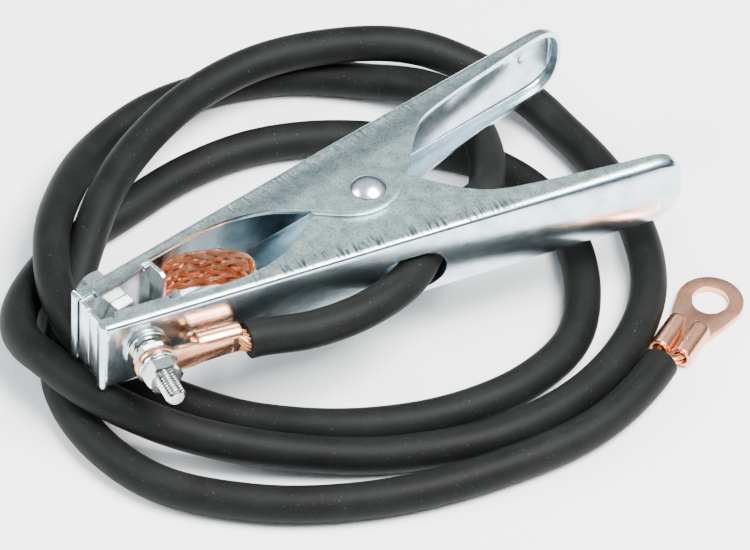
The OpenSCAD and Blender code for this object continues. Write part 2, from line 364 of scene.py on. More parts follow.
def plated(name, dark, mid, light, roughness, grain=(1, 1, 1), turn=0.0, depth=0.06):
    """Zinc plating: cloudy colour, uneven gloss and a fine drawn grain."""
    material, nodes, links, shader = new_material(name)
    cloud = noise(nodes, links, 170, 6, 0.62)
    links.new(ramp(nodes, links, cloud, [(0.30, dark), (0.5, mid), (0.70, light)]),
              shader.inputs["Base Color"])
    shader.inputs["Metallic"].default_value = 1.0
    patch = noise(nodes, links, 420, 4)
    links.new(remap(nodes, links, patch, roughness[0], roughness[1]), shader.inputs["Roughness"])
    fine = noise(nodes, links, 1500, 3, stretch=((0, 0, turn), grain))
    bump(nodes, links, shader, [(cloud, depth, 0.0006), (fine, depth, 0.0002)])
    return material


def copper(name, dark, light, roughness, scale=260, depth=0.12):
    """Bare copper with cloudy tarnish and fine scuffs."""
    material, nodes, links, shader = new_material(name)
    cloud = noise(nodes, links, scale, 6, 0.6)
    links.new(ramp(nodes, links, cloud, [(0.32, dark), (0.68, light)]),
              shader.inputs["Base Color"])
    shader.inputs["Metallic"].default_value = 1.0
    links.new(remap(nodes, links, cloud, roughness[1], roughness[0]), shader.inputs["Roughness"])
    scuff = noise(nodes, links, 900, 4, stretch=((0, 0, 0.5), (1, 0.15, 1)))
    bump(nodes, links, shader, [(scuff, depth, 0.0002)])
    return material


def rubber(name):
    """Matt cable rubber with faint drawing marks, chalky patches and dust specks."""
    material, nodes, links, shader = new_material(name)
    cloud = noise(nodes, links, 60, 5, 0.6)
    speck = noise(nodes, links, 1600, 2, 0.5)
    base = ramp(nodes, links, cloud, [(0.3, (0.004, 0.0045, 0.004)),
                                      (0.75, (0.009, 0.0100, 0.0085))])
    dust = ramp(nodes, links, speck, [(0.68, (0, 0, 0)), (0.78, (0.16, 0.16, 0.15))])
    links.new(blend_colours(nodes, links, base, dust, "SCREEN", 0.30),
              shader.inputs["Base Color"])
    links.new(remap(nodes, links, cloud, 0.50, 0.64), shader.inputs["Roughness"])
    shader.inputs["Specular IOR Level"].default_value = 0.09
    fine = noise(nodes, links, 1300, 3)
    bump(nodes, links, shader, [(cloud, 0.10, 0.002), (fine, 0.10, 0.0003)])
    return material


def flange_zinc(name, side, mark_tone):
    """Zinc on an arm's flanges: duller, grainy, with stretch marks beside the bend.

    mark_tone is the colour that the marks multiply the zinc by.
    """
    material, nodes, links, shader = new_material(name)
    cloud = noise(nodes, links, 240, 5, 0.6)
    grain = noise(nodes, links, 1500, 3, 0.7)
    tone = ramp(nodes, links, cloud, [(0.30, (0.34, 0.44, 0.42)), (0.70, (0.60, 0.70, 0.67))])
    pits = ramp(nodes, links, grain, [(0.34, (0.45, 0.50, 0.50)), (0.52, (1, 1, 1))])
    # The arm's own frame: x along the crease, y away from it.
    where = nodes.new("ShaderNodeTexCoord")
    frame_map = nodes.new("ShaderNodeMapping")
    frame_map.vector_type = "TEXTURE"
    frame_map.inputs["Location"].default_value = (0, side * JAW_HALF, 0)
    frame_map.inputs["Rotation"].default_value = (0, 0, side * ARM_ANGLE)
    frame_map.inputs["Scale"].default_value = (1, -side, 1)
    links.new(where.outputs["Object"], frame_map.inputs["Vector"])
    split = nodes.new("ShaderNodeSeparateXYZ")
    links.new(frame_map.outputs["Vector"], split.inputs["Vector"])
    stretch = nodes.new("ShaderNodeMapping")
    stretch.inputs["Scale"].default_value = (1, 0.10, 0.10)
    links.new(frame_map.outputs["Vector"], stretch.inputs["Vector"])
    streak = nodes.new("ShaderNodeTexNoise")
    streak.inputs["Scale"].default_value = 1150
    streak.inputs["Detail"].default_value = 2
    links.new(stretch.outputs["Vector"], streak.inputs["Vector"])
    # Marks fade out away from the crease and towards both ends of the ears.
    marks = fade(nodes, links, streak.outputs["Fac"], 0.54, 0.62)
    for axis, bare, full in (("Y", 7.5 * MM, 2 * MM), ("X", 36 * MM, 60 * MM),
                             ("X", 142 * MM, 120 * MM)):
        marks = times(nodes, links, marks,
                      fade(nodes, links, split.outputs[axis], bare, full))
    mark_colour = ramp(nodes, links, marks, [(0, (1, 1, 1)), (1, mark_tone)])
    colour = blend_colours(nodes, links, tone, pits, "MULTIPLY")
    colour = blend_colours(nodes, links, colour, mark_colour, "MULTIPLY")
    links.new(colour, shader.inputs["Base Color"])
    shader.inputs["Metallic"].default_value = 1.0
    links.new(remap(nodes, links, cloud, 0.34, 0.46), shader.inputs["Roughness"])
    dents = times(nodes, links, marks, -1)
    bump(nodes, links, shader, [(grain, 0.12, 0.0002), (dents, 0.6, 0.0002)])
    return material


ZINC = plated("zinc_sheet", (0.42, 0.54, 0.58), (0.60, 0.71, 0.76), (0.78, 0.87, 0.91),
              (0.14, 0.26), grain=(0.1, 1, 1))
LOWER_FLANGE = flange_zinc("zinc_lower_flange", -1, (0.22, 0.26, 0.26))
UPPER_FLANGE = flange_zinc("zinc_upper_flange", 1, (0.66, 0.70, 0.70))
CONTACT_ZINC = plated("zinc_contact", (0.60, 0.65, 0.66), (0.74, 0.79, 0.80), (0.86, 0.90, 0.90),
                      (0.18, 0.30))
BOLT_ZINC = plated("zinc_fastener", (0.46, 0.50, 0.47), (0.68, 0.71, 0.68), (0.88, 0.89, 0.84),
                   (0.09, 0.24), depth=0.10)
RIVET_ZINC = plated("zinc_rivet", (0.62, 0.66, 0.68), (0.78, 0.82, 0.84), (0.88, 0.91, 0.92),
                    (0.18, 0.28))
SPRING_STEEL = plated("spring_steel", (0.22, 0.23, 0.24), (0.36, 0.37, 0.38), (0.5, 0.5, 0.5),
                      (0.28, 0.42))
COPPER_SHEET = copper("copper_sheet", (0.76, 0.31, 0.17), (0.95, 0.51, 0.33), (0.20, 0.32))
COPPER_STRAND = copper("copper_strand", (0.66, 0.24, 0.08), (0.97, 0.55, 0.28), (0.20, 0.34),
                       scale=500)
COPPER_BRAID = copper("copper_braid", (0.50, 0.17, 0.07), (0.93, 0.47, 0.27), (0.24, 0.36),
                      scale=380)
RUBBER = rubber("cable_rubber")


def paint(piece, material):
    piece.data.materials.clear()
    piece.data.materials.append(material)


def paint_node(node, material):
    """Gives a carried CAD node its material, with its edges broken by a small bevel."""
    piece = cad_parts[node]
    weld = piece.modifiers.new("weld", "WELD")
    weld.merge_threshold = 1e-6
    kind, settings = bevel(EDGE)
    edges = piece.modifiers.new("edges", kind)
    for key, value in settings.items():
        setattr(edges, key, value)
    if not piece.material_slots:
        piece.data.materials.append(material)
    for s in piece.material_slots:
        s.link = "OBJECT"
        s.material = material


# ---- Camera ----

def make_camera():
    """The camera stands over the lower arm's front, a little turned about its own axis."""
    azimuth, elevation, roll = (math.radians(a) for a in (-35.2, 44.85, 3.08))
    distance = 1.946
    aim = Vector((0.090, 0, 0))
    shift_right, shift_up = 0.0058, -0.01415
    right = Vector((math.cos(azimuth), math.sin(azimuth), 0))
    forward = Vector((-math.sin(azimuth) * math.cos(elevation),
                      math.cos(azimuth) * math.cos(elevation), -math.sin(elevation)))
    up = right.cross(forward)
    r = right * math.cos(roll) + up * math.sin(roll)
    u = up * math.cos(roll) - right * math.sin(roll)
    place = aim - forward * distance + r * shift_right + u * shift_up
    data = bpy.data.cameras.new("camera")
    data.sensor_width = 36
    data.lens = 320.5
    data.clip_end = 20
    camera = bpy.data.objects.new("camera", data)
    camera.matrix_world = Matrix((
        (r.x, u.x, -forward.x, place.x),
        (r.y, u.y, -forward.y, place.y),
        (r.z, u.z, -forward.z, place.z),
        (0, 0, 0, 1)))
    bpy.context.collection.objects.link(camera)
    bpy.context.scene.camera = camera


# ---- Cable ----

def route_points():
    return [Vector((x * MM, y * MM, z * MM + REST_Z)) for x, y, z in CABLE_ROUTE]


def make_cable():
    """The jacket: one Bezier spline through the route's points."""
    points = route_points()
    curve = bpy.data.curves.new("cable", "CURVE")
    curve.dimensions = "3D"
    curve.bevel_depth = CABLE_R
    curve.bevel_resolution = 10
    curve.resolution_u = 14
    curve.use_fill_caps = True
    spline = curve.splines.new("BEZIER")
    spline.bezier_points.add(len(points) - 1)
    last = len(points) - 1
    lug_way = arm_point(-1, 1, 0, 0) - arm_point(-1, 0, 0, 0)
    end_way = Vector((math.cos(TERMINAL_TURN), math.sin(TERMINAL_TURN), 0))
    for i, p in enumerate(points):
        before = points[max(i - 1, 0)]
        after = points[min(i + 1, last)]
        da, db = (p - before).length, (after - p).length
        if i == 0:
            way = lug_way.normalized()
        elif i == last:
            way = end_way
        else:
            way = (p - before) * (db / da) + (after - p) * (da / db)
            if (p.z - before.z) * (after.z - p.z) <= 0:
                way.z = 0
            way.normalize()
        b = spline.bezier_points[i]
        b.co = p
        b.handle_left_type = b.handle_right_type = "FREE"
        b.handle_left = p - way * (da or db) / 3
        b.handle_right = p + way * (db or da) / 3
    piece = bpy.data.objects.new("cable", curve)
    bpy.context.collection.objects.link(piece)
    curve.materials.append(RUBBER)
    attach(piece, LOWER)
    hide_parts("cable_jacket")
    return piece


# ---- Arms ----

# Depth of the flanges along an arm, in mm: (distance along the back, depth).
FLANGE_DEPTH = [
    (-2, 3.5), (3.6, 3.5), (4.2, 5.9), (20.6, 5.9), (21.4, 3.7), (32, 3.8), (38, 4.0),
    (44, 4.5), (48, 5.1), (52, 6.1), (56, 7.5), (60, 9.6), (64, 12.4), (68, 15.6),
    (72, 19.0), (75, 22.0), (78, 24.9), (81, 27.4), (84, 29.2), (87.5, 30.5), (91.5, 30.9),
    (95.5, 30.3), (99, 28.9), (103, 26.2), (106, 23.9), (110, 20.3), (114, 16.8),
    (118, 13.5), (122, 11.0), (126, 9.4), (131, 8.3), (138, 7.4), (148, 6.5), (158, 5.7),
    (166, 5.1), (173, 4.8), (186, 4.6),
]
# Slope of the crowned back where its bends begin (degrees), and the bend radius in mm.
CROWN = [(0, 2), (40, 3), (70, 6), (95, 11), (125, 19), (150, 24), (172, 24), (186, 22)]
BEND = [(0, 1.7), (95, 1.8), (130, 2.2), (165, 2.8), (186, 3.2)]
WEB_ROWS, BEND_ROWS, FLANGE_ROWS = 12, 7, 30
# Places along an arm, in mm, where its outline changes between the nose and the plate's end.
FIRST_COLUMNS = [-0.3, 0.6, 2.2, 3.6, 4.2, 6, 9, 12, 15, 18, 20.6, 21.4, 24, 27, 30]
COLUMN_STEP = 1.5 * MM
NOSE_R = 1.6 * MM
NOSE_STEPS = 6
LIP_DEPTHS = (3.3 * MM, 2.5 * MM)
# The handle's end is a super-ellipse: 2 is a half circle, more is squarer.
END_POWER = 2.5
END_STEPS = 32
# Slight waves in the flange beside the bend: height, lengths, and where they come and go
# along the arm and across the flange.
WAVE_H = 0.09 * MM
WAVE_L = 0.47 * MM
SWELL_L = 2.9 * MM
WAVES_START = (40 * MM, 62 * MM)
WAVES_STOP = (118 * MM, 140 * MM)
WAVES_RISE = 1.5 * MM
WAVES_FALL = (5 * MM, 9 * MM)


def arm_columns():
    """(centre x, direction in x, direction in z, place along the arm, back depth)."""
    columns = [(TIP_X, 0, 1, TIP_X, depth) for depth in LIP_DEPTHS]
    for k in range(NOSE_STEPS + 1):
        a = math.radians(90 * k / NOSE_STEPS)
        columns.append((TIP_X + NOSE_R * (1 - math.cos(a)), 0, 1,
                        TIP_X, NOSE_R * (1 - math.sin(a))))
    xs = [x * MM for x in FIRST_COLUMNS]
    while xs[-1] < END_X - 1.6 * MM:
        xs.append(xs[-1] + COLUMN_STEP)
    columns += [(x, 0, 1, x, 0.0) for x in xs]
    fan = []
    for k in range(END_STEPS + 1):
        a = math.radians(90 - 180 * k / END_STEPS)
        dx = abs(math.cos(a)) ** (2 / END_POWER)
        dz = math.copysign(abs(math.sin(a)) ** (2 / END_POWER), math.sin(a))
        fan.append((END_X, dx, dz, END_X + HALF_H * dx, 0.0))
    bottom = [(x, dx, -dz, along, web) for x, dx, dz, along, web in reversed(columns)]
    return columns + fan + bottom


def arm_section(along, web, outer_ears):
    """Half a cross-section as (distance from the middle, depth) from back to edge."""
    if along <= TIP_X:
        flat = [(HALF_H * k / (WEB_ROWS + 2), web) for k in range(WEB_ROWS + 2)]
        return flat + [(HALF_H, web)] * (BEND_ROWS + FLANGE_ROWS - 1)
    edge = table(FLANGE_DEPTH, along) * MM
    r = table(BEND, along) * MM
    tilt = math.radians(table(CROWN, along))
    corner = HALF_H - r + r * math.sin(tilt)
    shoulder = web + r * (1 - math.cos(tilt))
    crown = corner * math.tan(tilt) / 2
    points = []
    for k in range(WEB_ROWS):
        q = k / WEB_ROWS
        points.append((corner * q, shoulder - crown * (1 - q * q)))
    for k in range(BEND_ROWS + 1):
        a = lerp(tilt, math.pi / 2, k / BEND_ROWS)
        points.append((HALF_H - r + r * math.sin(a), web + r * (1 - math.cos(a))))
    by_ears = smoothstep(*WAVES_START, along) * (1 - smoothstep(*WAVES_STOP, along))
    wave = math.sin(along / WAVE_L) * (0.6 + 0.4 * math.sin(along / SWELL_L))
    for k in range(1, FLANGE_ROWS + 1):
        y = lerp(web + r, edge, k / FLANGE_ROWS)
        step = EAR_STEP * smoothstep(STEP_LOW, STEP_HIGH, y) if outer_ears else 0.0
        by_bend = (smoothstep(web + r, web + r + WAVES_RISE, y)
                   * (1 - smoothstep(*WAVES_FALL, y)))
        points.append((HALF_H + step + WAVE_H * wave * by_bend * by_ears, y))
    return points


def slot_cutter():
    """A round-ended bar where the lower arm's cable slot goes."""
    rim, steps = [], 16
    for end in (1, -1):
        for k in range(steps + 1):
            a = math.radians(-90 + 180 * k / steps) + (0 if end > 0 else math.pi)
            rim.append((SLOT_X + end * SLOT_REACH + SLOT_R * math.cos(a),
                        SLOT_Z + SLOT_R * math.sin(a)))
    points = [arm_point(-1, px, y, pz) for y in (-6 * MM, 6 * MM) for px, pz in rim]
    n = len(rim)
    faces = [(k, (k + 1) % n, n + (k + 1) % n, n + k) for k in range(n)]
    faces += [tuple(range(n - 1, -1, -1)), tuple(range(n, 2 * n))]
    return merge(mesh_piece("slot_cutter", points, faces), 1e-7)


def make_arm(name, side, body, node):
    """A pressed sheet arm: nose lip, channel, bent ears and the closed handle end."""
    columns = arm_columns()
    points = []
    for x, dx, dz, along, web in columns:
        for w, y in arm_section(along, web, side > 0):
            points.append(arm_point(side, x + dx * w, y, dz * w))
    rows = WEB_ROWS + BEND_ROWS + 1 + FLANGE_ROWS
    piece = mesh_piece(name, points, grid_faces(len(columns), rows))
    merge(piece, 2e-6, outward=False)
    b = bmesh.new()
    b.from_mesh(piece.data)
    bmesh.ops.recalc_face_normals(b, faces=b.faces)
    # The back's faces have to look outward, so that the sheet grows inward.
    out = arm_point(side, 0, -1, 0) - arm_point(side, 0, 0, 0)
    middle = [f for f in b.faces if abs(f.calc_center_median().z) < 4 * MM]
    if sum(f.normal.dot(out) for f in middle) < 0:
        bmesh.ops.reverse_faces(b, faces=b.faces)
    b.to_mesh(piece.data)
    b.free()
    steps = [("SOLIDIFY", dict(thickness=SHEET, offset=-1, use_even_offset=False,
                               use_quality_normals=True))]
    if side < 0:
        cutter = slot_cutter()
        steps.append(("BOOLEAN", dict(operation="DIFFERENCE", object=cutter, solver="EXACT")))
    steps.append(bevel(EDGE))
    finish_mesh(piece, *steps)
    if side < 0:
        bpy.data.objects.remove(cutter)
    paint(piece, ZINC)
    piece.data.materials.append(LOWER_FLANGE if side < 0 else UPPER_FLANGE)
    # The flanges' outer faces take the duller zinc.
    for polygon in piece.data.polygons:
        outward = polygon.normal.z * polygon.center.z > 0
        polygon.material_index = int(abs(polygon.normal.z) > 0.8 and outward)
    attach(piece, body)
    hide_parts(node)


# ---- Fasteners ----

HEX_FLAT = 5.0 * MM
CHAMFER_R = 4.7 * MM
# Rise of a turned chamfer over the distance from its rim.
CHAMFER_SLOPE = 0.6
BOLT_R = 3.0 * MM
HEAD_H = 4.0 * MM
HEAD_TOP_R = 3.9 * MM
HEAD_SINK = 0.05 * MM
NUT_H = 5.0 * MM
THIN_NUT_H = 3.0 * MM
NUT_BORE_R = 2.7 * MM
NUT_MOUTH_R = (3.3 * MM, 3.4 * MM)
NUT_SINK = 0.5 * MM
# Depths of the fasteners outside an arm's back, and of the bolts' ends.
LOCK_WASHER_Y = 1.5 * MM
INNER_NUT_Y = 3.0 * MM
OUTER_NUT_Y = 9.0 * MM
LONG_BOLT_L = 22 * MM
SHORT_BOLT_L = 9.5 * MM
THREAD_PITCH = 1.0 * MM
THREAD_DEPTH = 0.62 * MM
THREAD_GAP = 0.42
THREAD_END_R = 2.15 * MM
SIDES = 48


def bolt_point(side, y, r, a):
    """A point at radius r and turn a round an arm's bolt; y is the depth in the arm."""
    return arm_point(side, BOLT_X + r * math.cos(a), y, r * math.sin(a))


def round_ring(side, y, r):
    return [bolt_point(side, y, r, math.tau * k / SIDES) for k in range(SIDES)]


def hex_ring(side, y, slope=0.0):
    """A hexagon's rim; slope lowers its corners as a turned chamfer does."""
    ring = []
    for k in range(SIDES):
        a = math.tau * k / SIDES
        r = HEX_FLAT / math.cos(a % (math.pi / 3) - math.pi / 6)
        ring.append(bolt_point(side, y + slope * (r - CHAMFER_R), r, a))
    return ring


def thread_ring(side, y, end_y):
    """One ring of a rolled thread, with the end's chamfer."""
    ring = []
    for k in range(SIDES):
        turn = (y / THREAD_PITCH + k / SIDES) % 1.0
        groove = max(0.0, 1 - abs(turn - 0.5) / THREAD_GAP)
        r = min(BOLT_R - THREAD_DEPTH * groove, THREAD_END_R + (y - end_y))
        ring.append(bolt_point(side, y, r, math.tau * k / SIDES))
    return ring


def turned_piece(name, rings, body, node):
    """A fastener from rings of points, each joined to the next."""
    points = [p for ring in rings for p in ring]
    piece = merge(mesh_piece(name, points, grid_faces(len(rings), SIDES, closed=True)))
    smooth_shading(piece.data, math.radians(24))
    paint(piece, BOLT_ZINC)
    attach(piece, body)
    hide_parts(node)


def make_bolt(name, side, length, body, node):
    """Hex bolt: the head is inside the jaw, the thread leaves the arm's back."""
    seat = PLATE_Y + PLATE_T
    crown = seat + HEAD_H
    rings = [round_ring(side, crown, 0.0), round_ring(side, crown, HEAD_TOP_R),
             round_ring(side, crown - HEAD_SINK, CHAMFER_R),
             hex_ring(side, crown, -CHAMFER_SLOPE),
             hex_ring(side, seat + 0.3 * MM), round_ring(side, seat, CHAMFER_R),
             round_ring(side, seat, BOLT_R), round_ring(side, -0.2 * MM, BOLT_R)]
    y = -0.3 * MM
    while y > -length:
        rings.append(thread_ring(side, y, -length))
        y -= THREAD_PITCH / 8
    rings += [round_ring(side, -length, 2.1 * MM), round_ring(side, -length, 0.0)]
    turned_piece(name, rings, body, node)


def make_nut(name, side, y, height, body, node):
    """Hex nut between y and y + height outside an arm's back."""
    low, high = -y, -y - height
    rings = [round_ring(side, low, NUT_MOUTH_R[0]), round_ring(side, low, CHAMFER_R),
             hex_ring(side, low, -CHAMFER_SLOPE), hex_ring(side, high, CHAMFER_SLOPE),
             round_ring(side, high, CHAMFER_R), round_ring(side, high, NUT_MOUTH_R[1]),
             round_ring(side, high + NUT_SINK, NUT_BORE_R),
             round_ring(side, low - NUT_SINK, NUT_BORE_R)]
    turned_piece(name, rings + rings[:1], body, node)


def make_lock_washer(name, side, body, node):
    """Split spring washer: a square wire bent once round the bolt."""
    points, steps = [], 40
    # Turn in degrees and rise in mm of the wire's two ends, and its section in mm.
    split_a, split_rise = (64, 414), (-0.12, 0.12)
    section = ((3.15, 0.15), (5.05, 0.15), (5.05, 1.35), (3.15, 1.35))
    for k in range(steps + 1):
        a = math.radians(lerp(*split_a, k / steps))
        lift = lerp(*split_rise, k / steps) * MM
        for r, dy in section:
            points.append(bolt_point(side, -LOCK_WASHER_Y - dy * MM + lift, r * MM, a))
    faces = grid_faces(steps + 1, 4, closed=True)
    faces += [(3, 2, 1, 0), tuple(range(4 * steps, 4 * steps + 4))]
    piece = merge(mesh_piece(name, points, faces), 1e-7)
    finish_mesh(piece, bevel(0.15 * MM))
    paint(piece, BOLT_ZINC)
    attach(piece, body)
    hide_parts(node)


# ---- Contact plates ----

# Half widths of a plate: at its ends, and between them where it lies in the arm.
WIDE = 11.4 * MM
NARROW = 10.4 * MM
NARROW_FROM = 3.3 * MM
NARROW_TO = 21.8 * MM
NOTCH = 0.01 * MM
# The tooth's front and rear face where the jaws meet, half the gap, and where it narrows.
TOOTH_X = (-0.7 * MM, 0.6 * MM)
TOOTH_GAP = 0.12 * MM
TOOTH_TAPER_Y = 8 * MM
LOWER_TAB_L = 5.4 * MM
UPPER_TAB_L = 7.2 * MM


def to_arm(x, y):
    """Arm frame of a point at x along the part, y short of the line where the jaws meet."""
    c, s = math.cos(ARM_ANGLE), math.sin(ARM_ANGLE)
    return x * c + (y - JAW_HALF) * s, x * s - (y - JAW_HALF) * c


def make_contact_plate(name, side, tab_l, body, node):
    """Bent strip: a tooth across the jaw's front, the plate, and a tab at its rear."""
    lean = math.tan(ARM_ANGLE)
    inner_y = PLATE_Y + PLATE_T
    inner_x = TAB_X - PLATE_T
    tab_y = PLATE_Y + tab_l
    front, rear = (to_arm(x, TOOTH_GAP) for x in TOOTH_X)

    def along_tooth(p, y):
        return p[0] + (p[1] - y) * lean, y

    def across_plate(x, half):
        return (x, PLATE_Y), (x, inner_y), half

    stations = [
        (front, rear, WIDE - 1.2 * MM),
        (along_tooth(front, TOOTH_TAPER_Y), along_tooth(rear, TOOTH_TAPER_Y), WIDE),
        (along_tooth(front, PLATE_Y), along_tooth(rear, inner_y), WIDE),
        across_plate(NARROW_FROM, WIDE),
        across_plate(NARROW_FROM + NOTCH, NARROW),
        across_plate(NARROW_TO - NOTCH, NARROW),
        across_plate(NARROW_TO, WIDE),
        ((TAB_X, PLATE_Y), (inner_x, inner_y), WIDE),
        ((TAB_X, tab_y - 1.5 * MM), (inner_x, tab_y - 1.5 * MM), WIDE),
        ((TAB_X, tab_y), (inner_x, tab_y), WIDE - 1.0 * MM),
    ]
    points = []
    for outer, inner, half in stations:
        for (x, y), z in ((outer, half), (outer, -half), (inner, -half), (inner, half)):
            points.append(arm_point(side, x, y, z))
    faces = grid_faces(len(stations), 4, closed=True)
    last = 4 * (len(stations) - 1)
    faces += [(3, 2, 1, 0), tuple(range(last, last + 4))]
    piece = merge(mesh_piece(name, points, faces), 1e-7)
    finish_mesh(piece, bevel(0.28 * MM, segments=3, angle=28))
    paint(piece, CONTACT_ZINC)
    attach(piece, body)
    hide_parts(node)


# ---- Cable lugs ----

# The bare bundle in mm: its radius, one wire's, and how far it reaches into the jacket.
BUNDLE_R = 3.35
STRAND_R = 0.44
IN_JACKET = 1.2
GOLDEN_ANGLE = 2.39996


def near_place(x, y, z):
    """From the near lug's frame: x from the bolt to the cable, z from its face inward."""
    c, s = math.cos(LUG_TILT), math.sin(LUG_TILT)
    return arm_point(-1, BOLT_X + x * c + y * s, -LUG_OUT + z, -x * s + y * c)


def far_place(x, y, z):
    """From the far lug's frame: x from its hole to the cable, z upward."""
    end = route_points()[-1]
    way = Vector((math.cos(TERMINAL_TURN), math.sin(TERMINAL_TURN), 0))
    across = Vector((-way.y, way.x, 0))
    place = end + way * (TERMINAL_L - x) + across * y
    place.z = TERMINAL_LOW_Z + LUG_T / 2 + z
    return place


def palm(name, place, half_outline, hole_r):
    """Flat eye of a lug; half_outline runs from its tip to the cable end."""
    outline = half_outline + [(x, -y) for x, y in reversed(half_outline[1:])]
    rings = [[], [], [], []]
    for x, y in outline:
        a = math.atan2(y, x)
        hx, hy = hole_r * math.cos(a), hole_r * math.sin(a)
        section = ((hx, hy, -0.5), (hx, hy, 0.5), (x, y, 0.5), (x, y, -0.5))
        for ring, (px, py, level) in zip(rings, section):
            ring.append(place(px, py, level * LUG_T))
    points = [p for ring in rings + rings[:1] for p in ring]
    faces = grid_faces(len(rings) + 1, len(outline), closed=True)
    piece = merge(mesh_piece(name, points, faces), 1e-7)
    return finish_mesh(piece, bevel(0.22 * MM))


def round_eye(radius, last_angle, *rest):
    """Half outline: an arc from the tip to last_angle (degrees), then points in mm."""
    arc, steps = [], 24
    for k in range(steps + 1):
        a = math.radians(lerp(180, last_angle, k / steps))
        arc.append((radius * math.cos(a), radius * math.sin(a)))
    return arc + [(x * MM, y * MM) for x, y in rest]


def wing_line(half_width, height, last_angle):
    """Middle line of one wing's section: flat bottom, then curled over and in."""
    gap, steps = 0.05 * MM, 28
    ry = (half_width - WING_T - gap) / 2
    rz = (height - WING_T) / 2
    cy = ry + WING_T / 2 + gap
    line = [(cy * k / 3, 0.0) for k in range(3)]
    for k in range(steps + 1):
        a = math.radians(lerp(-90, last_angle, k / steps))
        line.append((cy + ry * math.cos(a), rz + rz * math.sin(a)))
    return line


def crimp(name, place, start, stop, half_width, height, angles):
    """Barrel of two wings curled over the strands from start to stop."""
    points, columns = [], 12
    for i in range(columns + 1):
        t = i / columns
        half = wing_line(half_width, height, lerp(*angles, t))
        line = [Vector((-y, z)) for y, z in reversed(half[1:])] + [Vector(p) for p in half]
        outer, inner = [], []
        for k, p in enumerate(line):
            ahead = (line[min(k + 1, len(line) - 1)] - line[max(k - 1, 0)]).normalized()
            side = Vector((ahead.y, -ahead.x)) * (WING_T / 2)
            outer.append(p + side)
            inner.append(p - side)
        for p in outer + inner[::-1]:
            points.append(place(lerp(start, stop, t), p.x, p.y))
    rows = 2 * len(line)
    faces = grid_faces(columns + 1, rows, closed=True)
    for end in (0, columns * rows):
        for k in range(len(line) - 1):
            quad = (end + k, end + k + 1, end + rows - 2 - k, end + rows - 1 - k)
            faces.append(quad if end else quad[::-1])
    piece = merge(mesh_piece(name, points, faces), 1e-7)
    return finish_mesh(piece, bevel(0.2 * MM))


def make_lug(name, place, outline, hole_r, barrel, node):
    """Palm and crimp barrel; barrel is (start, stop, half width, height, curl angles)."""
    start, stop, half_width, height, angles = barrel
    lug = join(name, [palm(name + "_palm", place, outline, hole_r),
                      crimp(name + "_barrel", place, start * MM, stop * MM, half_width * MM,
                            height * MM, angles)])
    smooth_shading(lug.data)
    paint(lug, COPPER_SHEET)
    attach(lug, LOWER)
    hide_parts(node)
    return lug


def make_strands(name, place, cable_end, barrel, tip_out, node, seed):
    """Bare wires from the jacket's end that part into the two curls of the barrel."""
    cable_x, cable_z = cable_end
    start, _, half_width, height, _ = barrel
    rng = random.Random(seed)
    curl = half_width / 4 + 0.35
    lean = math.radians(38)
    wild = 0.25
    paths, count, steps = [], 44, 18
    for i in range(count):
        r = BUNDLE_R * math.sqrt((i + 0.5) / count)
        a = i * GOLDEN_ANGLE
        wing = 1 if math.cos(a) > 0 else -1
        goal_r = (curl - 0.9) * math.sqrt(rng.random())
        goal_a = a + rng.uniform(-0.5, 0.5)
        goal = (wing * (half_width / 2 + 0.1) + goal_r * math.cos(goal_a),
                height / 2 - WING_T / MM / 2 + goal_r * 1.1 * math.sin(goal_a))
        tip = start - tip_out * rng.uniform(0.2, 1.0)
        path = []
        for k in range(steps + 1):
            u = k / steps
            w = smoothstep(0.02, 0.42, u)
            turn = a - lean * (1 - w)
            y = lerp(r * math.cos(turn), goal[0] + wild * math.sin(9 * u + i), w)
            z = lerp(cable_z + r * math.sin(turn), goal[1] + wild * math.cos(9 * u + i), w)
            path.append(place(lerp(cable_x + IN_JACKET, tip, u) * MM, y * MM, z * MM))
        paths.append(path)
    strands = tubes(name, paths, STRAND_R * MM, 7)
    paint(strands, COPPER_STRAND)
    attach(strands, LOWER)
    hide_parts(node)
    return strands


# ---- Braid and spring ----

# Middle line of the braid between the contact plates, and its section, in mm.
BRAID_LINE = [(26.6, 4.6), (27.4, 6.6), (29.9, 9.2), (35, 10.2), (43, 8), (50, 4), (53, -1.5),
              (49.5, -7), (42, -8.8), (34, -8.2), (28.8, -7.2), (26.6, -6.6)]
BRAID_HALF = 7.0
BRAID_BUNDLES = 12
BRAID_WIRES = 4
BRAID_PITCH = 80
BRAID_CORE_R = 4.6
BRAID_LIFT = 0.48
BRAID_WEAVE = 0.40
WIRE_GAP = 0.36
WIRE_R = 0.24
# How nearly a bundle turns back on itself at the braid's rims: 1 is a sharp turn.
RIM_TURN = 0.985


def smooth_line(points, steps):
    """Catmull-Rom line through 2-D points."""
    line = []
    for i in range(len(points) - 1):
        a, b = points[max(i - 1, 0)], points[i]
        c, d = points[i + 1], points[min(i + 2, len(points) - 1)]
        for k in range(steps):
            t = k / steps
            line.append(tuple(
                0.5 * (2 * b[n] + (c[n] - a[n]) * t
                       + (2 * a[n] - 5 * b[n] + 4 * c[n] - d[n]) * t * t
                       + (3 * b[n] - a[n] - 3 * c[n] + d[n]) * t**3)
                for n in (0, 1)))
    return line + [points[-1]]


def even_line(line, count):
    """The line again, with count points at even distances."""
    marks = [0.0]
    for (xa, ya), (xb, yb) in zip(line, line[1:]):
        marks.append(marks[-1] + math.hypot(xb - xa, yb - ya))
    out, i = [], 0
    for k in range(count):
        goal = marks[-1] * k / (count - 1)
        while i < len(line) - 2 and marks[i + 1] < goal:
            i += 1
        t = (goal - marks[i]) / (marks[i + 1] - marks[i])
        out.append(tuple(lerp(line[i][n], line[i + 1][n], t) for n in (0, 1)))
    return out, marks[-1]


